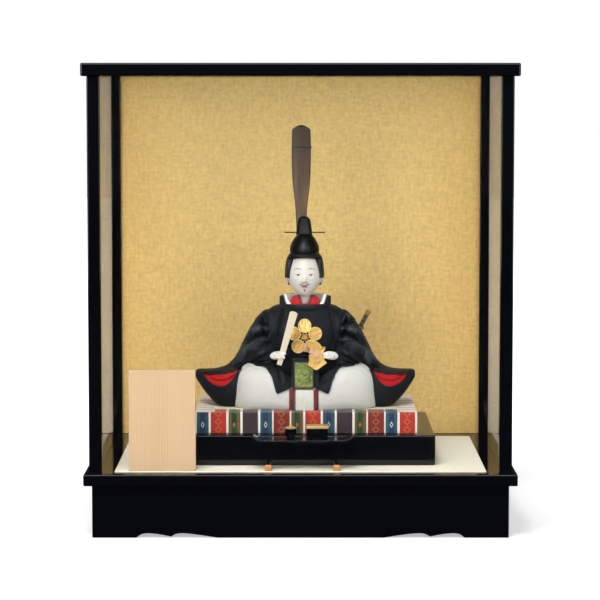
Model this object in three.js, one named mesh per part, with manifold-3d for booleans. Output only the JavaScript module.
// A seated court noble in the kimekomi manner, with its writing desk and name board, in a glass display case.
// Millimetres, X to the viewer's right, Y to the back, Z up. The origin is under the middle of the case.
import * as THREE from 'three';
import { mergeVertices } from 'three/addons/utils/BufferGeometryUtils.js';
import Module from 'manifold-3d';

const wasm = await Module();
wasm.setup();

// Clearance between pieces that seat in or against each other
const FIT = 0.3;

// Display case
const CASE_WIDTH = 350;
const CASE_DEPTH = 250;
const CASE_HEIGHT = 382.5;
const ROOF_THICK = 10.5;
const FLOOR_THICK = 9.5;
const APRON_HEIGHT = 43;
const APRON_THICK = 9;
const APRON_INSET = 6.5;
const BOARD_ROUND = 0.8;
const POST_SIDE = 10.5;
const POST_INSET = 4.5;
const GLASS_THICK = 2;
const GROOVE_DEPTH = 3;
const PANEL_THICK = 2.4;

// Cut-outs along the bottom of the front apron, each half an ogee pair
const SCALLOP_RISE = 3.7;
const SCALLOP_CUSP = 0.9;
const SCALLOP_START = 132.5;
const SCALLOP_FIRST_PEAK = 124;
const SCALLOP_CUSP_AT = 104.5;
const SCALLOP_SECOND_PEAK = 96;
const SCALLOP_END = 67;

// What lies and stands on the case floor, one on another
const STAGE_X = 4.7;
const MAT_MARGIN = 24.5;
const MAT_DEPTH = 203;
const MAT_THICK = 1;
const MAT_SETBACK = 13;
const PLINTH_WIDTH = 212;
const PLINTH_DEPTH = 148;
const PLINTH_HEIGHT = 25;
const PLINTH_SETBACK = 30;
const DAIS_WIDTH = 183;
const DAIS_DEPTH = 127;
const DAIS_HEIGHT = 17.8;
const DAIS_SETBACK = 10.6;
const BORDER_CLOTH = 0.8;
const BORDER_BAND = 15;

// Name board
const PLAQUE_WIDTH = 54.2;
const PLAQUE_HEIGHT = 82.5;
const PLAQUE_THICK = 5.5;
const PLAQUE_MARGIN = 36;
const PLAQUE_SETBACK = 13.5;

// Writing desk
const DESK_X = 1.6;
const DESK_LENGTH = 82.4;
const DESK_DEPTH = 23;
const DESK_HEIGHT = 24.8;
const DESK_TOP_THICK = 2;
const DESK_CURL = 3.2;
const DESK_SETBACK = 13.6;
const LEG_SPACING = 55.4;
const LEG_THICK = 3.2;
const LEG_COLUMNS = 4;
const LEG_RAIL = 3.4;
const CAP_LENGTH = 4.2;
const CAP_WALL = 1;

// Ink-stone box and water pot on the desk
const INK_X = 12;
const INK_WIDTH = 17.6;
const INK_DEPTH = 13;
const INK_HEIGHT = 11.2;
const INK_WALL = 1.2;
const INK_LID = 2.2;
const INK_LID_OVERHANG = 0.3;
const POT_X = -9.7;
const POT_RADIUS = 4.7;
const POT_HEIGHT = 8.6;
const POT_WALL = 1;
const POT_LID_RISE = 3;

// Figure: its middle over the floor, and the sizes that its clothes are cut to
const FIGURE_X = 4;
const FIGURE_SETBACK = 10;
const FIGURE_DEPTH = 105;
const SLEEVE_SPAN = 185.6;
const SHOULDER_HEIGHT = 84;
const SHOULDER_HALF = 33.5;
const CORE_MARGIN = 7;
const LAP_HEIGHT = 37.9;
const KNEE_SPAN = 118;
const KNEE_INNER = 8.6;
const PANEL_HEIGHT = 17;
const PANEL_FRONT = 53.4;
const SLOPE_FOOT = 49;
const SLOPE_TOP = 44.4;
const LAP_OVER_KNEES = 1.2;
const FRONT_X = -2.2;
const SASH_X = -1.2;
const FLAP_POINT = 20.8;
const FLAP_WIDTH = 38;
const FLAP_FOOT = 13.9;
const CLOTH = 1.4;
const MOUTH_INNER = 57;
const MOUTH_OUTER = 86.4;
const MOUTH_TOP = 30.8;
const MOUTH_BOTTOM = 17.6;
const LINING_RECESS = 2.2;
const LINING_THICK = 2.6;

// Collars, from the outside in, round the neck
const COLLAR_HALF = 21.8;
const COLLAR_REACH = 20.2;
const COLLAR_CLOTH = 3.2;
const COLLAR_FRONT = 85.3;
const COLLAR_BACK = 91.2;
const INNER_COLLAR_HALF = 18.2;
const INNER_COLLAR_REACH = 16.8;
const INNER_COLLAR_CLOTH = 2.4;
const INNER_COLLAR_TOP = 92.6;
const RED_COLLAR_HALF = 15.4;
const RED_COLLAR_REACH = 14;
const RED_COLLAR_TOP = 91.4;
const RED_COLLAR_CLOTH = 4;
const RED_COLLAR_LEAN = 5.6;

// Head, neck and hair
const NECK_Y = -1;
const HEAD_FORWARD = 2.5;
const HEAD_TURN = 18;
const HEAD_CENTRE = 109.1;
const HEAD_HALF_WIDTH = 14.6;
const HEAD_HALF_DEPTH = 16.6;
const HEAD_HALF_HEIGHT = 18.6;
const NECK_RADIUS = 4.8;
const PEG_RADIUS = 3;
const PEG_LENGTH = 14;
const HAIR_THICK = 1.7;
const HAIR_TOP_FULLNESS = 0.58;
const HAIRLINE = 123.2;

// Court cap
const CAP_RIM = 129;
const CAP_HALF_WIDTH = 12.4;
const CAP_HALF_DEPTH = 15.4;
const CAP_DOME = 14.6;
const KOJI_HALF = 6.4;
const KOJI_TOP_HALF = 4.9;
const KOJI_HEIGHT = 14.4;
const KOJI_BACK = 5;
const TAIL_X = -2.7;
const TAIL_LENGTH = 90.5;
const TAIL_WIDTH = 16.3;
const TAIL_THICK = 0.8;
const TAIL_LEAN = 5;
const HAIRPIN_LENGTH = 34.4;
const HAIRPIN_RADIUS = 0.5;

// Hands, sceptre, ornaments and sword
const HAND_X = 22.2;
const HANDS_MIDDLE = -1;
const HAND_Y = -44;
const HAND_Z = 45;
const HAND_HALF_LENGTH = 6.6;
const HAND_HALF_HEIGHT = 3.9;
const SCEPTRE_LENGTH = 46.3;
const SCEPTRE_TOP_WIDTH = 6.6;
const SCEPTRE_FOOT_WIDTH = 4.2;
const SCEPTRE_THICK = 1.2;
const SCEPTRE_TILT = 15.7;
const SCEPTRE_IN_HAND = 3.6;
const SCEPTRE_BELOW_HAND = 8;
const CREST_X = -0.5;
const CREST_Z = 59.5;
const CREST_RING = 9.6;
const PETAL_RADIUS = 6;
const PETAL_THICK = 1.3;
const CREST_FRONT = -35.6;
const LEAF_X = 10.4;
const LEAF_Y = -46.4;
const LEAF_Z = 45.2;
const LEAF_HALF_WIDTH = 8;
const LEAF_HALF_HEIGHT = 12.6;
const LEAF_THICK = 1.1;
const LEAF_LEAN = 0.42;
const SASH_WIDTH = 15.6;
const SASH_THICK = 2.2;
const RIBBON_WIDTH = 3.9;
const SWORD_RADIUS = 2;
const HILT_LENGTH = 17;
const SWORD_LENGTH = 62;
const GUARD_RADIUS = 3.6;

// Levels and fronts that follow from the sizes above
const FLOOR_TOP = APRON_HEIGHT + FLOOR_THICK;
const ROOF_UNDER = CASE_HEIGHT - ROOF_THICK;
const CASE_FRONT = -CASE_DEPTH / 2;
const MAT_FRONT = CASE_FRONT + MAT_SETBACK;
const MAT_TOP = FLOOR_TOP + MAT_THICK;
const PLINTH_FRONT = MAT_FRONT + PLINTH_SETBACK;
const PLINTH_TOP = MAT_TOP + PLINTH_HEIGHT;
const DAIS_FRONT = PLINTH_FRONT + DAIS_SETBACK;
const DAIS_TOP = PLINTH_TOP + DAIS_HEIGHT;
const FIGURE_FRONT = -FIGURE_DEPTH / 2;
const FIGURE_Y = DAIS_FRONT + FIGURE_SETBACK - FIGURE_FRONT;

const COLOURS = {
  lacquer: { color: 0x0b0c10, roughness: 0.12, metalness: 0 },
  glass: { color: 0xdfe8e6, roughness: 0.02, metalness: 0, transparent: true, opacity: 0.25 },
  goldPaper: { color: 0xdebe73, roughness: 0.55, metalness: 0.3 },
  cream: { color: 0xf3ead8, roughness: 0.9, metalness: 0 },
  rush: { color: 0xd9c9a3, roughness: 0.85, metalness: 0 },
  border: { color: 0xc24a2c, roughness: 0.8, metalness: 0 },
  wood: { color: 0xebc7a0, roughness: 0.6, metalness: 0 },
  brass: { color: 0xf0a860, roughness: 0.25, metalness: 0.9 },
  robe: { color: 0x1b1d22, roughness: 0.7, metalness: 0 },
  crimson: { color: 0xd5262b, roughness: 0.65, metalness: 0 },
  white: { color: 0xf0f0ee, roughness: 0.75, metalness: 0 },
  brocade: { color: 0x7fa34a, roughness: 0.5, metalness: 0.1 },
  wine: { color: 0x5a0d18, roughness: 0.6, metalness: 0 },
  gofun: { color: 0xefebe6, roughness: 0.35, metalness: 0 },
  hair: { color: 0x121114, roughness: 0.5, metalness: 0 },
  gauze: { color: 0x4b3d34, roughness: 0.7, metalness: 0 },
  gold: { color: 0xf2c868, roughness: 0.3, metalness: 0.8 },
  hilt: { color: 0x4a3a30, roughness: 0.6, metalness: 0 },
  paste: { color: 0xb98f62, roughness: 0.9, metalness: 0 },
};

// Solids are joined and cut as closed meshes whose shared corners are one.

function solidOf(geometry) {
  const bare = geometry.clone();
  bare.deleteAttribute('normal');
  bare.deleteAttribute('uv');
  const merged = mergeVertices(bare, 1e-4);
  const vertProperties = new Float32Array(merged.attributes.position.array);
  const triVerts = new Uint32Array(merged.index.array);
  return new wasm.Manifold(new wasm.Mesh({ numProp: 3, vertProperties, triVerts }));
}

function geometryOf(solid) {
  const mesh = solid.getMesh();
  const geometry = new THREE.BufferGeometry();
  geometry.setAttribute('position', new THREE.BufferAttribute(mesh.vertProperties, 3));
  geometry.setIndex(new THREE.BufferAttribute(mesh.triVerts, 1));
  return geometry;
}

function cut(geometry, ...tools) {
  return geometryOf(tools.reduce((rest, tool) => rest.subtract(solidOf(tool)), solidOf(geometry)));
}

function join(geometry, ...others) {
  return geometryOf(others.reduce((sum, other) => sum.add(solidOf(other)), solidOf(geometry)));
}

function overlap(geometry, other) {
  return geometryOf(solidOf(geometry).intersect(solidOf(other)));
}

// Builds a closed mesh from points and triangles, turned so that its faces point out.
function closedMesh(points, triangles) {
  let volume = 0;
  for (let i = 0; i < triangles.length; i += 3) {
    const [a, b, c] = [points[triangles[i]], points[triangles[i + 1]], points[triangles[i + 2]]];
    volume += a.dot(new THREE.Vector3().crossVectors(b, c));
  }
  const faces = volume < 0 ? triangles.slice().reverse() : triangles;
  const geometry = new THREE.BufferGeometry().setFromPoints(points);
  geometry.setIndex(faces);
  return geometry;
}

function middleOf(ring) {
  const sum = ring.reduce((total, point) => total.add(point), new THREE.Vector3());
  return sum.divideScalar(ring.length);
}

// Skins a row of rings that have the same number of points, and caps both ends.
function loft(rings) {
  const count = rings[0].length;
  const points = rings.flat();
  const triangles = [];
  for (let r = 0; r < rings.length - 1; r++) {
    for (let i = 0; i < count; i++) {
      const a = r * count + i;
      const b = r * count + ((i + 1) % count);
      triangles.push(a, b, b + count, a, b + count, a + count);
    }
  }
  const start = points.length;
  const end = start + 1;
  const last = (rings.length - 1) * count;
  for (let i = 0; i < count; i++) {
    const next = (i + 1) % count;
    triangles.push(start, next, i);
    triangles.push(end, last + i, last + next);
  }
  return closedMesh([...points, middleOf(rings[0]), middleOf(rings[rings.length - 1])], triangles);
}

// Skins a row of rings that runs round and meets itself again.
function hoop(rings) {
  const count = rings[0].length;
  const triangles = [];
  for (let r = 0; r < rings.length; r++) {
    const next = (r + 1) % rings.length;
    for (let i = 0; i < count; i++) {
      const j = (i + 1) % count;
      triangles.push(r * count + i, r * count + j, next * count + j);
      triangles.push(r * count + i, next * count + j, next * count + i);
    }
  }
  return closedMesh(rings.flat(), triangles);
}

// Reads a row of stations at a share of its length, smoothly, each station a list of numbers.
function stationAt(stations, share) {
  const place = share * (stations.length - 1);
  const index = Math.min(Math.floor(place), stations.length - 2);
  const t = place - index;
  const p0 = stations[Math.max(index - 1, 0)];
  const p1 = stations[index];
  const p2 = stations[index + 1];
  const p3 = stations[Math.min(index + 2, stations.length - 1)];
  return p1.map((value, k) => {
    const a = p2[k] - p0[k];
    const b = p3[k] - p1[k];
    const rise = p2[k] - value;
    return value + 0.5 * a * t + (3 * rise - a - 0.5 * b) * t * t + (0.5 * (a + b) - 2 * rise) * t * t * t;
  });
}

function power(value, exponent) {
  return Math.sign(value) * Math.abs(value) ** exponent;
}

// A point on a rounded outline of half sizes a and b: squareness 2 is an ellipse, more is squarer.
function roundedPoint(a, b, squareness, angle) {
  const e = 2 / squareness;
  return [a * power(Math.cos(angle), e), b * power(Math.sin(angle), e)];
}

// A ring in a plane across X, flat where it would sink below zero
function sideRing(x, bottom, top, front, back, squareness, count) {
  const ring = [];
  for (let i = 0; i < count; i++) {
    const angle = (2 * Math.PI * i) / count;
    const [y, z] = roundedPoint((back - front) / 2, (top - bottom) / 2, squareness, angle);
    ring.push(new THREE.Vector3(x, (front + back) / 2 + y, Math.max(0, (top + bottom) / 2 + z)));
  }
  return ring;
}

// A level ring at height z
function levelRing(z, halfWidth, front, back, squareness, count) {
  const ring = [];
  for (let i = 0; i < count; i++) {
    const angle = (2 * Math.PI * i) / count;
    const [x, y] = roundedPoint(halfWidth, (back - front) / 2, squareness, angle);
    ring.push(new THREE.Vector3(x, (front + back) / 2 + y, z));
  }
  return ring;
}

// A row of round sections along a bent line; each station is x, y, z, radius and height.
function limb(stations, steps, count) {
  const rings = [];
  for (let s = 0; s <= steps; s++) {
    const [x, y, z, radius, height] = stationAt(stations, s / steps);
    const before = stationAt(stations, Math.max(0, s / steps - 0.01));
    const after = stationAt(stations, Math.min(1, s / steps + 0.01));
    const along = new THREE.Vector3(after[0] - before[0], after[1] - before[1], after[2] - before[2]);
    const side = new THREE.Vector3(0, 0, 1).cross(along).normalize();
    const up = along.clone().cross(side).normalize();
    const ring = [];
    for (let i = 0; i < count; i++) {
      const angle = (2 * Math.PI * i) / count;
      const point = new THREE.Vector3(x, y, z);
      point.addScaledVector(side, radius * Math.cos(angle));
      point.addScaledVector(up, height * Math.sin(angle));
      ring.push(point);
    }
    rings.push(ring);
  }
  return loft(rings);
}

function box(width, depth, height) {
  return new THREE.BoxGeometry(width, depth, height);
}

function polygon(points) {
  return new THREE.Shape(points.map(([x, y]) => new THREE.Vector2(x, y)));
}

function rectangle(width, height) {
  const [x, y] = [width / 2, height / 2];
  return polygon([[-x, -y], [x, -y], [x, y], [-x, y]]);
}

// Extrudes an outline upwards from z = 0, its edges rounded by the given amount inside its own size.
function upright(shape, height, round = 0) {
  const geometry = new THREE.ExtrudeGeometry(shape, {
    depth: height - 2 * round,
    curveSegments: 4,
    bevelEnabled: round > 0,
    bevelThickness: round,
    bevelSize: round,
    bevelOffset: -round,
    bevelSegments: 1,
  });
  return geometry.translate(0, 0, round);
}

// Extrudes an outline drawn in X and Z backwards from y = 0.
function frontal(shape, depth, round = 0) {
  return upright(shape, depth, round).rotateX(Math.PI / 2).translate(0, depth, 0);
}

function slab(width, depth, height, round = BOARD_ROUND) {
  return upright(rectangle(width, depth), height, round);
}

const model = new THREE.Group();

function add(name, geometry, finish, parent = model, x = 0, y = 0, z = 0) {
  const mesh = new THREE.Mesh(geometry, new THREE.MeshStandardMaterial(COLOURS[finish]));
  mesh.name = name;
  mesh.position.set(x, y, z);
  parent.add(mesh);
  return mesh;
}

// Case base: a floor board on four apron boards, the front one cut along its bottom edge

function apronOutline(width) {
  const shape = new THREE.Shape();
  shape.moveTo(-width / 2, 0);
  shape.lineTo(-SCALLOP_START, 0);
  shape.quadraticCurveTo(-SCALLOP_START + 3, SCALLOP_RISE, -SCALLOP_FIRST_PEAK, SCALLOP_RISE);
  shape.quadraticCurveTo(-SCALLOP_FIRST_PEAK + 7, SCALLOP_RISE, -SCALLOP_CUSP_AT, SCALLOP_CUSP);
  shape.quadraticCurveTo(-SCALLOP_CUSP_AT + 3, SCALLOP_RISE, -SCALLOP_SECOND_PEAK, SCALLOP_RISE);
  shape.quadraticCurveTo(-SCALLOP_SECOND_PEAK + 7, SCALLOP_RISE, -SCALLOP_END, 0);
  shape.lineTo(SCALLOP_END, 0);
  shape.quadraticCurveTo(SCALLOP_SECOND_PEAK - 7, SCALLOP_RISE, SCALLOP_SECOND_PEAK, SCALLOP_RISE);
  shape.quadraticCurveTo(SCALLOP_CUSP_AT - 3, SCALLOP_RISE, SCALLOP_CUSP_AT, SCALLOP_CUSP);
  shape.quadraticCurveTo(SCALLOP_FIRST_PEAK - 7, SCALLOP_RISE, SCALLOP_FIRST_PEAK, SCALLOP_RISE);
  shape.quadraticCurveTo(SCALLOP_START - 3, SCALLOP_RISE, SCALLOP_START, 0);
  shape.lineTo(width / 2, 0);
  shape.lineTo(width / 2, APRON_HEIGHT);
  shape.lineTo(-width / 2, APRON_HEIGHT);
  return shape;
}

const apronWidth = CASE_WIDTH - 2 * APRON_INSET;
const apronDepth = CASE_DEPTH - 2 * APRON_INSET;
const apronFront = CASE_FRONT + APRON_INSET;
add('base_plate', slab(CASE_WIDTH, CASE_DEPTH, FLOOR_THICK), 'lacquer', model, 0, 0, APRON_HEIGHT);
add('apron_front', frontal(apronOutline(apronWidth), APRON_THICK), 'lacquer', model, 0, apronFront, 0);
const apronBack = slab(apronWidth, APRON_THICK, APRON_HEIGHT, 0);
add('apron_back', apronBack, 'lacquer', model, 0, -apronFront - APRON_THICK / 2, 0);
for (const [name, side] of [['apron_left', -1], ['apron_right', 1]]) {
  const board = slab(APRON_THICK, apronDepth - 2 * APRON_THICK, APRON_HEIGHT, 0);
  add(name, board, 'lacquer', model, side * (apronWidth / 2 - APRON_THICK / 2), 0, 0);
}
const mat = slab(CASE_WIDTH - 2 * MAT_MARGIN, MAT_DEPTH, MAT_THICK, 0.3);
add('floor_mat', mat, 'cream', model, 0, MAT_FRONT + MAT_DEPTH / 2, FLOOR_TOP);

// Hood: a roof board on four grooved posts, with glass on three sides and a gilt panel at the back

const postHeight = ROOF_UNDER - FLOOR_TOP;
const postX = CASE_WIDTH / 2 - POST_INSET - POST_SIDE / 2;
const postY = CASE_DEPTH / 2 - POST_INSET - POST_SIDE / 2;

// A post with a groove towards the middle in X, grooveY along Y, and one towards the middle in Y
function post(sideX, sideY, grooveThick) {
  const half = POST_SIDE / 2;
  const across = grooveThick / 2 + FIT / 2;
  const along = GLASS_THICK / 2 + FIT / 2;
  const blank = slab(POST_SIDE, POST_SIDE, postHeight, 0);
  const tall = postHeight * 2;
  const sideGroove = box(GROOVE_DEPTH * 2, across * 2, tall).translate(-sideX * half, 0, 0);
  const endGroove = box(along * 2, GROOVE_DEPTH * 2, tall).translate(0, -sideY * half, 0);
  return cut(blank, sideGroove, endGroove);
}

const paneTop = ROOF_UNDER + GROOVE_DEPTH - FIT;
const paneReach = POST_SIDE / 2 - GROOVE_DEPTH + FIT;
const paneHeight = paneTop - FLOOR_TOP - FIT;
const frontPane = 2 * (postX - paneReach);
const sidePane = 2 * (postY - paneReach);

function paneSlot(width, depth) {
  return box(width + FIT, depth + FIT, GROOVE_DEPTH * 2);
}

const roofSlots = [
  paneSlot(frontPane, GLASS_THICK).translate(0, -postY, 0),
  paneSlot(frontPane, PANEL_THICK).translate(0, postY, 0),
  paneSlot(GLASS_THICK, sidePane).translate(-postX, 0, 0),
  paneSlot(GLASS_THICK, sidePane).translate(postX, 0, 0),
];
const roof = cut(slab(CASE_WIDTH, CASE_DEPTH, ROOF_THICK), ...roofSlots);
add('top_plate', roof, 'lacquer', model, 0, 0, ROOF_UNDER);
for (const [name, sideX, sideY] of [
  ['post_front_left', -1, -1],
  ['post_front_right', 1, -1],
  ['post_back_left', -1, 1],
  ['post_back_right', 1, 1],
]) {
  const grooveThick = sideY < 0 ? GLASS_THICK : PANEL_THICK;
  add(name, post(sideX, sideY, grooveThick), 'lacquer', model, sideX * postX, sideY * postY, FLOOR_TOP);
}
add('glass_front', slab(frontPane, GLASS_THICK, paneHeight, 0), 'glass', model, 0, -postY, FLOOR_TOP + FIT);
add('glass_left', slab(GLASS_THICK, sidePane, paneHeight, 0), 'glass', model, -postX, 0, FLOOR_TOP + FIT);
add('glass_right', slab(GLASS_THICK, sidePane, paneHeight, 0), 'glass', model, postX, 0, FLOOR_TOP + FIT);
add('back_board', slab(frontPane, PANEL_THICK, paneHeight, 0), 'goldPaper', model, 0, postY, FLOOR_TOP + FIT);

// Plinth and the bordered mat block on it

const plinthY = PLINTH_FRONT + PLINTH_DEPTH / 2;
const daisY = DAIS_FRONT + DAIS_DEPTH / 2;
add('plinth', slab(PLINTH_WIDTH, PLINTH_DEPTH, PLINTH_HEIGHT, 1.2), 'lacquer', model, STAGE_X, plinthY, MAT_TOP);

const coreWidth = DAIS_WIDTH - 2 * BORDER_CLOTH - 2 * FIT;
const coreDepth = DAIS_DEPTH - 2 * BORDER_CLOTH - 2 * FIT;
const bandHeight = DAIS_HEIGHT - BORDER_CLOTH - FIT;
const raisedWidth = DAIS_WIDTH - 2 * BORDER_BAND - 2 * FIT;
const raised = slab(raisedWidth, coreDepth, DAIS_HEIGHT, 0.3);
add('dais_core', join(slab(coreWidth, coreDepth, bandHeight, 0), raised), 'rush', model, STAGE_X, daisY, PLINTH_TOP);

const clothInside = box(coreWidth + 2 * FIT, coreDepth + 2 * FIT, 2 * (bandHeight + FIT));
const clothWindow = box(raisedWidth + 2 * FIT, coreDepth + 2 * FIT, 4 * DAIS_HEIGHT);
const cloth = cut(slab(DAIS_WIDTH, DAIS_DEPTH, DAIS_HEIGHT, 0.4), clothInside, clothWindow);
add('dais_border', cloth, 'border', model, STAGE_X, daisY, PLINTH_TOP);

// Name board, standing free and left bare

const plaqueX = -CASE_WIDTH / 2 + PLAQUE_MARGIN + PLAQUE_WIDTH / 2;
const plaqueY = CASE_FRONT + PLAQUE_SETBACK + PLAQUE_THICK / 2;
add('name_plaque', slab(PLAQUE_WIDTH, PLAQUE_THICK, PLAQUE_HEIGHT, 0.4), 'wood', model, plaqueX, plaqueY, MAT_TOP);

// Writing desk: a top with turned-up ends on two pierced legs, whose foot rails end in caps

const desk = new THREE.Group();
desk.position.set(DESK_X, CASE_FRONT + DESK_SETBACK + DESK_DEPTH / 2, MAT_TOP);
model.add(desk);

function deskTopOutline() {
  const half = DESK_LENGTH / 2;
  const shape = new THREE.Shape();
  shape.moveTo(-half + 9, 0);
  shape.lineTo(half - 9, 0);
  shape.quadraticCurveTo(half - 3, 0.2, half, DESK_TOP_THICK + DESK_CURL - 1);
  shape.absarc(half - 1, DESK_TOP_THICK + DESK_CURL - 1, 1, 0, Math.PI, false);
  shape.quadraticCurveTo(half - 4, DESK_TOP_THICK, half - 9, DESK_TOP_THICK);
  shape.lineTo(-half + 9, DESK_TOP_THICK);
  shape.quadraticCurveTo(-half + 4, DESK_TOP_THICK, -half + 2, DESK_TOP_THICK + DESK_CURL - 1);
  shape.absarc(-half + 1, DESK_TOP_THICK + DESK_CURL - 1, 1, 0, Math.PI, false);
  shape.quadraticCurveTo(-half + 3, 0.2, -half + 9, 0);
  return shape;
}

// A foot rail with a row of columns on it, under a short upper rail
function legGeometry() {
  const height = DESK_HEIGHT - DESK_TOP_THICK;
  const railLength = DESK_DEPTH - 2 * CAP_WALL - 2 * FIT;
  const upperLength = DESK_DEPTH - 2 * (CAP_LENGTH + FIT);
  const upperRail = 2.4;
  const frame = box(LEG_THICK, upperLength, height).translate(0, 0, height / 2);
  const rail = box(LEG_THICK, railLength, LEG_RAIL).translate(0, 0, LEG_RAIL / 2);
  const opening = height - LEG_RAIL - upperRail;
  const column = upperLength / (2 * LEG_COLUMNS - 1);
  const gaps = [];
  for (let i = 1; i < LEG_COLUMNS; i++) {
    const y = -upperLength / 2 + column * (2 * i - 0.5);
    gaps.push(box(LEG_THICK * 2, column, opening).translate(0, y, LEG_RAIL + opening / 2));
  }
  return cut(join(frame, rail), ...gaps);
}

// A box cap that slips over the end of a foot rail
function footCap(side) {
  const outside = slab(LEG_THICK + 2 * FIT + 2 * CAP_WALL, CAP_LENGTH, LEG_RAIL + FIT + CAP_WALL, 0.5);
  const inside = box(LEG_THICK + 2 * FIT, CAP_LENGTH * 2, 2 * (LEG_RAIL + FIT));
  return cut(outside, inside.translate(0, -side * (CAP_LENGTH / 2 + CAP_WALL), 0));
}

const deskTop = frontal(deskTopOutline(), DESK_DEPTH, 0.3);
add('desk_top', deskTop, 'lacquer', desk, 0, -DESK_DEPTH / 2, DESK_HEIGHT - DESK_TOP_THICK);
for (const [side, word] of [[-1, 'left'], [1, 'right']]) {
  add(`desk_leg_${word}`, legGeometry(), 'lacquer', desk, (side * LEG_SPACING) / 2, 0, 0);
  for (const [end, place] of [[-1, 'front'], [1, 'back']]) {
    const y = end * (DESK_DEPTH / 2 - CAP_LENGTH / 2);
    add(`foot_cap_${place}_${word}`, footCap(end), 'brass', desk, (side * LEG_SPACING) / 2, y, 0);
  }
}

// Ink-stone box with a lid that sits over it, and a water pot with a domed lid

function tray(width, depth, height, wall) {
  const hollow = box(width - 2 * wall, depth - 2 * wall, 2 * (height - wall)).translate(0, 0, height);
  return cut(slab(width, depth, height, 0.3), hollow);
}

const inkBody = INK_HEIGHT - INK_LID;
const inkWidth = INK_WIDTH - 2 * INK_LID_OVERHANG;
const inkDepth = INK_DEPTH - 2 * INK_LID_OVERHANG;
add('ink_box', tray(inkWidth, inkDepth, inkBody, INK_WALL), 'lacquer', desk, INK_X, 0, DESK_HEIGHT);
const inkLip = box(inkWidth - 2 * (INK_WALL + FIT), inkDepth - 2 * (INK_WALL + FIT), 2);
const inkLid = join(slab(INK_WIDTH, INK_DEPTH, INK_LID, 0.5), inkLip);
add('ink_box_lid', inkLid, 'lacquer', desk, INK_X, 0, DESK_HEIGHT + inkBody);

function turned(points, segments = 12) {
  const profile = points.map(([radius, height]) => new THREE.Vector2(radius, height));
  return new THREE.LatheGeometry(profile, segments).rotateX(Math.PI / 2);
}

const potBody = turned([
  [0, 0], [POT_RADIUS * 0.66, 0], [POT_RADIUS * 0.7, 1], [POT_RADIUS * 0.86, 2.4], [POT_RADIUS, POT_HEIGHT - 1.4],
  [POT_RADIUS, POT_HEIGHT], [POT_RADIUS - POT_WALL, POT_HEIGHT], [POT_RADIUS - POT_WALL, 2.6], [0, 1.6],
]);
const potLid = turned([
  [0, -1], [POT_RADIUS - POT_WALL - FIT, -1], [POT_RADIUS - POT_WALL - FIT, 0], [POT_RADIUS, 0], [POT_RADIUS, 0.6],
  [POT_RADIUS * 0.6, 1.5], [POT_RADIUS * 0.2, 2], [1, POT_LID_RISE - 0.4], [0, POT_LID_RISE],
]);
add('water_pot', potBody, 'lacquer', desk, POT_X, 0, DESK_HEIGHT);
add('water_pot_lid', potLid, 'lacquer', desk, POT_X, 0, DESK_HEIGHT + POT_HEIGHT);

// Figure. Every outline below is in the figure's own frame, whose origin is on the mat block under its middle.

const figure = new THREE.Group();
figure.position.set(FIGURE_X, FIGURE_Y, DAIS_TOP);
model.add(figure);

const sleeveHalf = SLEEVE_SPAN / 2;
const bodyBack = FIGURE_DEPTH / 2 - CORE_MARGIN + 2;

// The robe's trunk, let out or taken in all round by grow
function trunk(grow) {
  const shoulder = SHOULDER_HEIGHT;
  const stations = [
    [0, SHOULDER_HALF + 3, -28, bodyBack],
    [0.34 * shoulder, SHOULDER_HALF - 1, -33, bodyBack - 3],
    [0.58 * shoulder, SHOULDER_HALF - 3, -35, bodyBack - 9],
    [0.78 * shoulder, SHOULDER_HALF - 0.5, -31, bodyBack - 15],
    [0.92 * shoulder, SHOULDER_HALF - 1, -23, bodyBack - 25],
    [0.985 * shoulder, 26, -19, bodyBack - 30],
    [shoulder, 19, -15, bodyBack - 33],
  ];
  const rings = [];
  const steps = 12;
  for (let s = 0; s <= steps; s++) {
    const [z, half, front, back] = stationAt(stations, s / steps);
    const level = s === 0 ? z : z + grow * (s / steps);
    rings.push(levelRing(level, half + grow, front - grow, back + grow, 2.3, 24));
  }
  return loft(rings);
}

// The moulded core inside the robe, with the socket for the neck peg
function core(grow) {
  const rings = [];
  const steps = 5;
  for (let s = 0; s <= steps; s++) {
    const share = s / steps;
    const half = (SHOULDER_HALF - CORE_MARGIN) * (1 - 0.55 * share ** 3);
    const reach = (FIGURE_DEPTH / 2 - 2.2 * CORE_MARGIN) * (1 - 0.62 * share ** 2);
    const z = share * (SHOULDER_HEIGHT - CORE_MARGIN);
    const level = s === 0 ? -grow : z + grow * share;
    rings.push(levelRing(level, half + grow, -0.72 * reach - grow, reach + grow, 2.2, 16));
  }
  return loft(rings);
}

// An upright round bar about its middle
function bar(radius, length, segments = 16) {
  return new THREE.CylinderGeometry(radius, radius, length, segments).rotateX(Math.PI / 2);
}

const pegFoot = HEAD_CENTRE - HEAD_HALF_HEIGHT - PEG_LENGTH - 12;
const socket = bar(PEG_RADIUS + FIT, 60).translate(0, NECK_Y, pegFoot - FIT + 30);
const neckWell = bar(NECK_RADIUS + 2 * FIT, 40).translate(0, NECK_Y, pegFoot + PEG_LENGTH - FIT + 20);

// Sleeve bag from the shoulder seam to its outer corner: x, bottom, top, front, back
const SLEEVE_STATIONS = [
  [0.22, -6, 75, -16, 24],
  [0.36, -6, 79.2, -24, 30],
  [0.48, -6, 67.4, -31, 31],
  [0.57, -6, 52.4, -35, 30],
  [0.635, -5, 39.8, -37, 28],
  [0.71, -4, 33, -36, 25],
  [0.8, 0, 30.2, -32, 19],
  [0.9, 9.4, 29.6, -24, 11],
  [0.97, 18.4, 29.6, -15, 3],
  [1, 23.2, 28.4, -10.5, -2],
];

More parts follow.
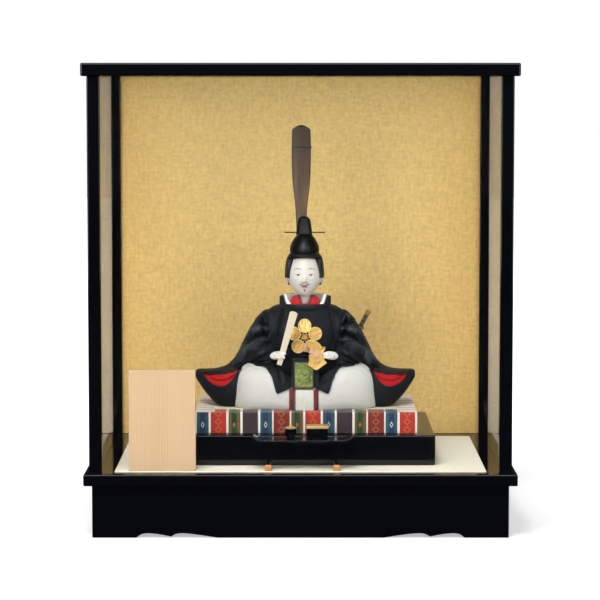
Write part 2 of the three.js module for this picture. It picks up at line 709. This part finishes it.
function sleeveBag(side, grow) {
  const rings = [];
  const steps = 13;
  for (let s = 0; s <= steps; s++) {
    const [share, bottom, top, front, back] = stationAt(SLEEVE_STATIONS, s / steps);
    const x = side * (share * sleeveHalf + (s === steps ? grow : 0));
    rings.push(sideRing(x, bottom - grow, top + grow, front - grow, back + grow, 2.4, 18));
  }
  return loft(rings);
}

// The forearm inside the sleeve, which carries the cloth forward to the hand
function forearm(side, grow) {
  const wristX = handX(side) + side * (HAND_HALF_LENGTH + 1);
  return limb([
    [side * 34, 4, 42, 16 + grow, 16 + grow],
    [side * 38, -16, 41, 14 + grow, 15 + grow],
    [side * 37, -32, 42.3, 10.5 + grow, 11 + grow],
    [wristX, HAND_Y + 1.5, HAND_Z - 0.5, 7 + grow, 6.8 + grow],
  ], 6, 14);
}

// The mouth of the sleeve, a crescent that shows the lining
function mouthOutline(side, inset) {
  const inner = side * (MOUTH_INNER + inset);
  const outer = side * (MOUTH_OUTER - inset);
  const top = MOUTH_TOP - inset;
  const shape = new THREE.Shape();
  shape.moveTo(inner, top + 0.6);
  shape.quadraticCurveTo(side * 70, top - 4.8, outer, top - 3.2);
  shape.quadraticCurveTo(side * 82, MOUTH_BOTTOM + 1.6 + inset, side * 72, MOUTH_BOTTOM + inset);
  shape.quadraticCurveTo(side * 62, MOUTH_BOTTOM + 0.2 + inset, inner, top + 0.6);
  return shape;
}

function mouthPrism(side, inset) {
  return frontal(mouthOutline(side, inset), 50).translate(0, -60, 0);
}

function handX(side) {
  return HANDS_MIDDLE + side * HAND_X;
}

function palm(side, grow) {
  const shape = new THREE.SphereGeometry(1, 12, 8);
  shape.scale(HAND_HALF_LENGTH + grow, 3.6 + grow, HAND_HALF_HEIGHT + grow);
  return shape.rotateY(side * 0.12).translate(handX(side), HAND_Y, HAND_Z);
}

// A closed hand: the palm with four curled fingers over its front
function hand(side) {
  let shape = palm(side, 0).translate(-handX(side), -HAND_Y, -HAND_Z);
  for (let finger = 0; finger < 4; finger++) {
    const roll = new THREE.CapsuleGeometry(1.25, 2.6, 2, 6);
    roll.rotateZ(side * 0.35);
    roll.rotateX(Math.PI / 2 - 0.25);
    roll.translate(-side * (3.9 - finger * 1.9), -2.3, 1.2 - Math.abs(finger - 1.2) * 0.35);
    shape = join(shape, roll);
  }
  return shape.translate(handX(side), HAND_Y, HAND_Z);
}

// Sceptre: a tapered tablet with a rounded top, leaning through the right hand
function sceptre(grow) {
  const foot = SCEPTRE_FOOT_WIDTH / 2 + grow;
  const head = SCEPTRE_TOP_WIDTH / 2 + grow;
  const shape = new THREE.Shape();
  shape.moveTo(-foot, -grow);
  shape.lineTo(foot, -grow);
  shape.lineTo(head, SCEPTRE_LENGTH - 1.2);
  shape.quadraticCurveTo(0, SCEPTRE_LENGTH + 1.2 + grow, -head, SCEPTRE_LENGTH - 1.2);
  return frontal(shape, SCEPTRE_THICK + 2 * grow)
    .translate(0, -SCEPTRE_THICK / 2 - grow, -SCEPTRE_BELOW_HAND)
    .rotateY(THREE.MathUtils.degToRad(SCEPTRE_TILT))
    .translate(handX(-1) + SCEPTRE_IN_HAND, HAND_Y - 2.2, HAND_Z);
}

// Sword: hilt, guard and scabbard on one slanting line behind the left arm
const SWORD_TOP = new THREE.Vector3(54.4, 14, 77.6);
const SWORD_AIM = new THREE.Vector3(-0.44, 0.3, -0.88).normalize();

function alongSword(geometry) {
  const turn = new THREE.Quaternion().setFromUnitVectors(new THREE.Vector3(0, 0, -1), SWORD_AIM);
  return geometry.applyQuaternion(turn).translate(SWORD_TOP.x, SWORD_TOP.y, SWORD_TOP.z);
}

// A round bar on the sword's line between two distances from the top of the hilt
function swordBar(radius, start, end, segments = 14) {
  return bar(radius, end - start, segments).translate(0, 0, -(start + end) / 2);
}

const swordWay = alongSword(swordBar(SWORD_RADIUS + 0.5 + FIT, -60, SWORD_LENGTH + 1));
const guardWay = alongSword(swordBar(GUARD_RADIUS + FIT, -60, HILT_LENGTH + 2));

// Legs under the white trousers: x share of the span, bottom, top as a share of the lap's height, front, back
const KNEE_STATIONS = [
  [1, 0, 0.42, -31, -11],
  [0.975, -3, 0.68, -35.5, -8],
  [0.9, -5, 0.88, -41, -6],
  [0.78, -6, 0.98, -45.6, -6],
  [0.64, -6, 1, -48.6, -6],
  [0.48, -6, 0.98, -50.6, -6],
  [0.3, -6, 0.87, -51.8, -6],
  [0.14, -6, 0.72, -52.3, -6],
  [0, -6, 0.55, -52.4, -6],
];

function knee(side, grow) {
  const rings = [];
  const steps = 11;
  const span = KNEE_SPAN / 2 - KNEE_INNER;
  for (let s = 0; s <= steps; s++) {
    const [share, bottom, top, front, back] = stationAt(KNEE_STATIONS, s / steps);
    const end = s === 0 ? grow : s === steps ? -grow : 0;
    const x = side * (KNEE_INNER + share * span + end);
    rings.push(sideRing(x, bottom - grow, top * LAP_HEIGHT + grow, front - grow, back + grow, 2.7, 20));
  }
  return loft(rings);
}

// A piece of cloth cut to an outline in X and Z, laid over a form of the figure
function patch(form, outline, lift, thickness, deepest) {
  const shell = cut(form(lift + thickness), form(lift));
  const cutter = frontal(outline, 60 + deepest).translate(0, -60, 0);
  return overlap(shell, cutter);
}

// Side view outline, drawn in Y and Z, carried across X about x = 0
function crosswise(shape, width) {
  return upright(shape, width).rotateX(Math.PI / 2).rotateZ(Math.PI / 2).translate(-width / 2, 0, 0);
}

// The trousers' middle: an upright front panel below, and a slope above it that carries the sash
function lapMiddle() {
  const back = -37;
  const top = LAP_HEIGHT + LAP_OVER_KNEES;
  const shape = new THREE.Shape();
  shape.moveTo(-PANEL_FRONT + 0.6, 0);
  shape.quadraticCurveTo(-PANEL_FRONT - 0.6, PANEL_HEIGHT * 0.55, -PANEL_FRONT + 1.6, PANEL_HEIGHT);
  shape.lineTo(-SLOPE_FOOT, PANEL_HEIGHT + 0.4);
  shape.lineTo(-SLOPE_TOP, top);
  shape.lineTo(back, top);
  shape.lineTo(back, 0);
  const seam = box(0.5, 1.6, PANEL_HEIGHT * 3).translate(SASH_X, -PANEL_FRONT, 0);
  return cut(crosswise(shape, 2 * (KNEE_INNER - FIT)), seam, trunk(FIT));
}

function sash() {
  const rise = LAP_HEIGHT + LAP_OVER_KNEES - PANEL_HEIGHT;
  const run = SLOPE_FOOT - SLOPE_TOP;
  const slope = Math.atan2(run, rise);
  const length = Math.hypot(rise, run) - 1;
  return slab(SASH_WIDTH, SASH_THICK, length, 0.7)
    .translate(0, -SASH_THICK / 2 - FIT, 0.6)
    .rotateX(-slope)
    .translate(SASH_X, -SLOPE_FOOT, PANEL_HEIGHT + 0.4);
}

// The front opening is a little left of the figure's middle, but its edges stay on the cloth of each knee
function frontEdge(side, centre, reach) {
  return side * Math.max(KNEE_INNER + 0.3, side * centre + reach);
}

function flapOutline(side) {
  const inner = frontEdge(side, FRONT_X, KNEE_INNER + 0.7);
  return polygon([
    [inner, FLAP_FOOT + 5.2],
    [FRONT_X + side * (KNEE_INNER + 4.4), FLAP_FOOT + 3.4],
    [FRONT_X + side * FLAP_POINT, FLAP_FOOT],
    [FRONT_X + side * (FLAP_POINT + 1.2), FLAP_FOOT + 1],
    [FRONT_X + side * (FLAP_POINT + 5), FLAP_FOOT + 14.5],
    [FRONT_X + side * (FLAP_POINT + 9.6), LAP_HEIGHT - 3],
    [FRONT_X + side * FLAP_WIDTH, LAP_HEIGHT + 0.4],
    [FRONT_X + side * FLAP_WIDTH, LAP_HEIGHT + 8],
    [inner, LAP_HEIGHT + 8],
  ]);
}

function ribbonOutline(side) {
  const beside = SASH_WIDTH / 2;
  const inner = frontEdge(side, SASH_X, beside);
  const outer = frontEdge(side, SASH_X, beside + RIBBON_WIDTH);
  const top = FLAP_FOOT + 2.6;
  return polygon([[inner, 0.1], [outer, 0.1], [outer, top], [inner, top + 1.2]]);
}

// A standing collar round the neck: half sizes outside and inside at its foot and top, and its top by angle
function collar(outerFoot, innerFoot, outerTop, innerTop, foot, topAt, count = 30) {
  const rings = [];
  for (let i = 0; i < count; i++) {
    const angle = (2 * Math.PI * i) / count;
    const corner = ([halfX, halfY], z) =>
      new THREE.Vector3(halfX * Math.cos(angle), NECK_Y + halfY * Math.sin(angle), z);
    const top = topAt(angle);
    rings.push([corner(outerFoot, foot), corner(outerTop, top), corner(innerTop, top), corner(innerFoot, foot)]);
  }
  return hoop(rings);
}

// How far an angle has turned away from the front, eased from 0 to 1 between two angles in degrees
function awayFromFront(angle, start, end) {
  const turn = Math.abs(((THREE.MathUtils.radToDeg(angle) + 90 + 540) % 360) - 180);
  return THREE.MathUtils.smoothstep(turn, start, end);
}

// Head: a rounded skull with a jaw, brow, nose, lips and chin of ordinary proportions. The face looks to -Y.

function bump(offset, width) {
  return Math.exp(-((offset / width) ** 2));
}

function facePoint(direction, grow, features, fullness) {
  const down = Math.max(0, -direction.z);
  const up = Math.max(0, direction.z);
  const front = Math.max(0, -direction.y);
  const back = Math.max(0, direction.y);
  const full = 1 + fullness * up ** 2.5;
  const x = (HEAD_HALF_WIDTH + grow) * direction.x * (1 - 0.36 * down ** 2.1 - 0.04 * up ** 2) * full;
  let y = (HEAD_HALF_DEPTH + grow) * direction.y * (1 - 0.42 * back * down ** 1.2 - 0.1 * front * down ** 2) * full;
  const z = (HEAD_HALF_HEIGHT + grow) * direction.z * (1 + 0.08 * up);
  if (features && direction.y < 0) {
    const side = Math.abs(x);
    const { smoothstep } = THREE.MathUtils;
    const bridge = smoothstep(-z, -2.6, 3.6) * (1 - smoothstep(-z, 4.2, 6.2));
    y -= 2.5 * bump(x, 1.5 + 0.9 * smoothstep(-z, 0, 4)) * bridge;
    y += 0.75 * bump(side - 5.4, 2.6) * bump(z - 1, 2);
    y -= 0.35 * bump(side - 5.2, 3.6) * bump(z - 4.4, 1.6);
    y -= 0.8 * bump(x, 2.9) * bump(z + 8.3, 1.5);
    y += 0.35 * bump(x, 3.4) * bump(z + 11.2, 1.2);
    y -= 0.9 * bump(x, 3.6) * bump(z + 14.4, 2.6);
  }
  return new THREE.Vector3(x, y - HEAD_FORWARD, z + HEAD_CENTRE);
}

// The head's surface, with its finest faces round the nose
function headForm(grow, features = false, fullness = 0, around = 20, rows = 12) {
  const rings = [];
  for (let r = 0; r <= rows; r++) {
    const polar = Math.PI * (0.012 + 0.976 * (r / rows) ** 1.25);
    const ring = [];
    for (let i = 0; i < around; i++) {
      const angle = (2 * Math.PI * i) / around;
      const across = Math.sin(polar);
      const direction = new THREE.Vector3(across * Math.cos(angle), -Math.cos(polar), across * Math.sin(angle));
      ring.push(facePoint(direction, grow, features, fullness));
    }
    rings.push(ring);
  }
  return loft(rings);
}

function ear(side, grow) {
  const shape = new THREE.SphereGeometry(1, 8, 6).scale(1.3 + grow, 2.3 + grow, 4.2 + grow);
  return shape.rotateX(-0.15).translate(side * (HEAD_HALF_WIDTH - 0.1), 1.6 - HEAD_FORWARD, HEAD_CENTRE - 3.6);
}

function neck() {
  const stem = new THREE.CylinderGeometry(NECK_RADIUS - 0.3, NECK_RADIUS, 18, 16).rotateX(Math.PI / 2);
  const peg = new THREE.CylinderGeometry(PEG_RADIUS, PEG_RADIUS - 0.4, PEG_LENGTH + 1, 16).rotateX(Math.PI / 2);
  return join(
    stem.translate(0, 0, pegFoot + PEG_LENGTH + 9),
    peg.translate(0, 0, pegFoot + (PEG_LENGTH + 1) / 2),
  );
}

// The hair's outside: fuller than the skull towards the top, where it carries the cap
function hairForm(grow) {
  return headForm(HAIR_THICK + grow, false, HAIR_TOP_FULLNESS);
}

function hair() {
  const window = new THREE.Shape();
  window.moveTo(-30, 60);
  window.lineTo(30, 60);
  window.lineTo(30, HEAD_CENTRE - 2.4);
  window.lineTo(13.9, HEAD_CENTRE - 2.4);
  window.quadraticCurveTo(13.2, HEAD_CENTRE + 6, 11.6, HAIRLINE - 1.6);
  window.quadraticCurveTo(11.2, HAIRLINE, 9.6, HAIRLINE);
  window.quadraticCurveTo(0, HAIRLINE + 0.8, -9.6, HAIRLINE);
  window.quadraticCurveTo(-11.2, HAIRLINE, -11.6, HAIRLINE - 1.6);
  window.quadraticCurveTo(-13.2, HEAD_CENTRE + 6, -13.9, HEAD_CENTRE - 2.4);
  window.lineTo(-30, HEAD_CENTRE - 2.4);
  const face = frontal(window, 42).translate(0, -40, 0);
  const nape = box(80, 80, 60).translate(0, 0, HEAD_CENTRE - 9.5 - 30);
  const shell = cut(hairForm(0), headForm(2 * FIT), face, nape);
  return cut(shell, ear(-1, FIT), ear(1, FIT));
}

// Cap dome: radius share of its half sizes by height over the rim
function capDome(grow) {
  const profile = [
    [0, -3], [0.95, -3], [1, 1.6], [0.94, 5.6], [0.79, 9.4], [0.6, 12.6], [0.47, CAP_DOME], [0, CAP_DOME],
  ];
  const points = profile.map(([share, z]) => {
    const radius = share === 0 ? 0 : share + grow / CAP_HALF_WIDTH;
    return new THREE.Vector2(radius, z + (z > 0 ? grow : -grow));
  });
  const dome = new THREE.LatheGeometry(points, 22).rotateX(Math.PI / 2);
  return dome.scale(CAP_HALF_WIDTH, CAP_HALF_DEPTH, 1).translate(0, 1 - HEAD_FORWARD, CAP_RIM);
}

const kojiFoot = CAP_RIM + CAP_DOME - 1;
const kojiTop = CAP_RIM + CAP_DOME + KOJI_HEIGHT;
const pinHeight = CAP_RIM + CAP_DOME + 1;

function koji() {
  const rings = [];
  const steps = 7;
  for (let s = 0; s <= steps; s++) {
    const share = s / steps;
    const round = Math.sqrt(Math.max(0.02, 1 - share ** 7));
    const half = (KOJI_HALF + (KOJI_TOP_HALF - KOJI_HALF) * share) * (0.35 + 0.65 * round);
    const z = kojiFoot + (kojiTop - kojiFoot) * share;
    rings.push(levelRing(z, half, -0.72 * half, 0.72 * half, 2.3, 14));
  }
  return loft(rings).translate(0, KOJI_BACK, 0);
}

const hairpin = bar(HAIRPIN_RADIUS, HAIRPIN_LENGTH, 10).rotateY(Math.PI / 2).translate(-0.4, KOJI_BACK, pinHeight);
const hairpinWay = bar(HAIRPIN_RADIUS + FIT, 40, 10).rotateY(Math.PI / 2).translate(0, KOJI_BACK, pinHeight);

// The cap's tail: a long stiffened band that stands up behind the koji and widens to a rounded top.
// Its width is a share of the widest, at even steps from its root.
const TAIL_WIDTHS = [[0.5], [0.54], [0.61], [0.74], [0.89], [0.96], [0.99], [1], [0.98], [0.94]];

function capTail() {
  const rings = [];
  const steps = 14;
  for (let s = 0; s <= steps; s++) {
    const share = s / steps;
    const z = kojiFoot + 2 + TAIL_LENGTH * share;
    const [widthShare] = stationAt(TAIL_WIDTHS, share);
    const crown = Math.sqrt(Math.max(0.03, 1 - Math.max(0, (share - 0.95) / 0.05) ** 2));
    const half = (TAIL_WIDTH / 2) * widthShare * (0.5 + 0.5 * crown);
    const y = TAIL_LEAN * Math.sin(share * Math.PI * 0.6);
    rings.push(levelRing(z, half, y - TAIL_THICK / 2, y + TAIL_THICK / 2, 2.6, 8));
  }
  const kojiBehind = KOJI_BACK + 0.72 * KOJI_HALF + TAIL_THICK / 2 + FIT;
  return loft(rings).translate(TAIL_X, kojiBehind, 0);
}

// Five round petals about a knob, as an outline in X and Z
function crestOutline() {
  const points = [];
  const perPetal = 9;
  const half = Math.PI / 5;
  const valley = CREST_RING * Math.cos(half) + Math.sqrt(PETAL_RADIUS ** 2 - (CREST_RING * Math.sin(half)) ** 2);
  const spread = Math.atan2(valley * Math.sin(half), valley * Math.cos(half) - CREST_RING);
  for (let petal = 0; petal < 5; petal++) {
    const middle = Math.PI / 2 - petal * 2 * half;
    const x = CREST_X + CREST_RING * Math.cos(middle);
    const z = CREST_Z + CREST_RING * Math.sin(middle);
    for (let i = 0; i < perPetal; i++) {
      const angle = middle + spread * (1 - (2 * i) / perPetal);
      points.push([x + PETAL_RADIUS * Math.cos(angle), z + PETAL_RADIUS * Math.sin(angle)]);
    }
  }
  return polygon(points);
}

function crest() {
  const petals = patch(trunk, crestOutline(), FIT, PETAL_THICK, -20);
  const knob = new THREE.SphereGeometry(2, 10, 6).translate(CREST_X, CREST_FRONT, CREST_Z);
  return join(petals, cut(knob, trunk(FIT)));
}

// A gilt leaf with a scalloped edge, held out by the fingertips of the left hand
function leaf() {
  const points = [];
  const lobes = 9;
  for (let i = 0; i < lobes * 4; i++) {
    const angle = (2 * Math.PI * i) / (lobes * 4);
    const reach = 0.92 + 0.12 * Math.abs(Math.sin((angle * lobes) / 2));
    points.push([LEAF_HALF_WIDTH * reach * Math.cos(angle), LEAF_HALF_HEIGHT * reach * Math.sin(angle)]);
  }
  return frontal(polygon(points), LEAF_THICK).rotateX(-LEAF_LEAN).rotateY(-0.12).translate(LEAF_X, LEAF_Y, LEAF_Z);
}

const trunkShell = cut(trunk(0), core(FIT), socket, neckWell);
const kneeWithRoom = { '-1': knee(-1, FIT), 1: knee(1, FIT) };

add('body_core', cut(core(0), socket, swordWay), 'paste', figure);
add('robe_trunk', cut(trunkShell, swordWay), 'robe', figure);

for (const [side, word] of [[-1, 'left'], [1, 'right']]) {
  const mouth = cut(mouthPrism(side, 0), sleeveBag(side, -LINING_RECESS - LINING_THICK));
  const arm = join(sleeveBag(side, 0), forearm(side, 0));
  const sleeve = cut(arm, mouth, palm(side, FIT), trunk(FIT), kneeWithRoom[side]);
  add(`sleeve_${word}`, side > 0 ? cut(sleeve, swordWay, guardWay) : sleeve, 'robe', figure);
  const lining = cut(
    overlap(sleeveBag(side, -LINING_RECESS), mouthPrism(side, FIT)),
    sleeveBag(side, -LINING_RECESS - LINING_THICK + FIT),
    forearm(side, FIT),
    kneeWithRoom[side],
  );
  add(`sleeve_lining_${word}`, lining, 'crimson', figure);
  add(`hakama_${word}`, cut(knee(side, 0), trunk(FIT)), 'white', figure);
  const flapForm = (grow) => knee(side, grow);
  const sleeveWithRoom = join(sleeveBag(side, FIT), forearm(side, FIT));
  const flap = patch(flapForm, flapOutline(side), FIT, CLOTH, -30);
  add(`robe_flap_${word}`, cut(flap, trunk(FIT), sleeveWithRoom, palm(side, FIT)), 'robe', figure);
  add(`ribbon_${word}`, patch(flapForm, ribbonOutline(side), FIT, 0.8, -40), 'wine', figure);
}
add('hakama_middle', lapMiddle(), 'white', figure);
add('sash', sash(), 'brocade', figure);

// Collars, cut to sit on the shoulders and clear of the chin as the head turns
const chinSweep = [-HEAD_TURN, 0, HEAD_TURN].map((degrees) =>
  headForm(0.8).rotateZ(THREE.MathUtils.degToRad(degrees)).translate(0, NECK_Y, 0));
const outerCollar = collar(
  [COLLAR_HALF, COLLAR_REACH],
  [COLLAR_HALF - COLLAR_CLOTH, COLLAR_REACH - COLLAR_CLOTH],
  [COLLAR_HALF, COLLAR_REACH - 0.6],
  [COLLAR_HALF - COLLAR_CLOTH + 0.4, COLLAR_REACH - COLLAR_CLOTH],
  SHOULDER_HEIGHT - 6,
  (angle) => COLLAR_FRONT + (COLLAR_BACK - COLLAR_FRONT) * awayFromFront(angle, 52, 74),
);
const innerFront = COLLAR_FRONT - 1.2;
const innerCollar = collar(
  [INNER_COLLAR_HALF, INNER_COLLAR_REACH],
  [INNER_COLLAR_HALF - INNER_COLLAR_CLOTH, INNER_COLLAR_REACH - INNER_COLLAR_CLOTH],
  [INNER_COLLAR_HALF - 1, INNER_COLLAR_REACH - 1],
  [INNER_COLLAR_HALF - INNER_COLLAR_CLOTH, INNER_COLLAR_REACH - INNER_COLLAR_CLOTH],
  SHOULDER_HEIGHT + FIT,
  (angle) => innerFront + (INNER_COLLAR_TOP - innerFront) * awayFromFront(angle, 46, 78),
);
const redFront = SHOULDER_HEIGHT + 1.4;
const redCollar = collar(
  [RED_COLLAR_HALF, RED_COLLAR_REACH],
  [RED_COLLAR_HALF - RED_COLLAR_CLOTH, RED_COLLAR_REACH - RED_COLLAR_CLOTH],
  [RED_COLLAR_HALF - RED_COLLAR_LEAN, RED_COLLAR_REACH - RED_COLLAR_LEAN + 1],
  [RED_COLLAR_HALF - RED_COLLAR_LEAN - 2, RED_COLLAR_REACH - RED_COLLAR_LEAN - 1],
  SHOULDER_HEIGHT + FIT,
  (angle) => redFront + (RED_COLLAR_TOP - redFront) * awayFromFront(angle, 14, 42),
);
add('collar_outer', cut(outerCollar, trunk(FIT), ...chinSweep), 'robe', figure);
add('collar_white', cut(innerCollar, ...chinSweep), 'white', figure);
add('collar_red', cut(redCollar, ...chinSweep), 'crimson', figure);

const head = new THREE.Group();
head.position.set(0, NECK_Y, 0);
figure.add(head);
add('head', join(headForm(0, true, 0, 24, 16), neck(), ear(-1, 0), ear(1, 0)), 'gofun', head);
add('hair', hair(), 'hair', head);
add('cap_dome', cut(capDome(0), hairForm(FIT)), 'hair', head);
add('cap_koji', cut(koji(), capDome(FIT), hairpinWay), 'hair', head);
add('cap_hairpin', hairpin, 'hair', head);
add('cap_tail', cut(capTail(), capDome(FIT)), 'gauze', head);

add('hand_right', cut(hand(-1), sceptre(FIT)), 'gofun', figure);
add('hand_left', hand(1), 'gofun', figure);
add('sceptre', sceptre(0), 'wood', figure);
add('plum_crest', crest(), 'gold', figure);
add('gilt_leaf', cut(leaf(), palm(1, FIT), hand(1), trunk(FIT)), 'gold', figure);

const pommel = swordBar(SWORD_RADIUS + 0.25, 0, 2.4);
const guard = swordBar(GUARD_RADIUS, HILT_LENGTH, HILT_LENGTH + 1.4, 18);
add('sword_hilt', alongSword(join(swordBar(SWORD_RADIUS, 0, HILT_LENGTH + 1), pommel, guard)), 'hilt', figure);
const scabbard = swordBar(SWORD_RADIUS + 0.35, HILT_LENGTH + 1.4 + FIT, SWORD_LENGTH);
add('sword_scabbard', alongSword(scabbard), 'lacquer', figure);

export default model;
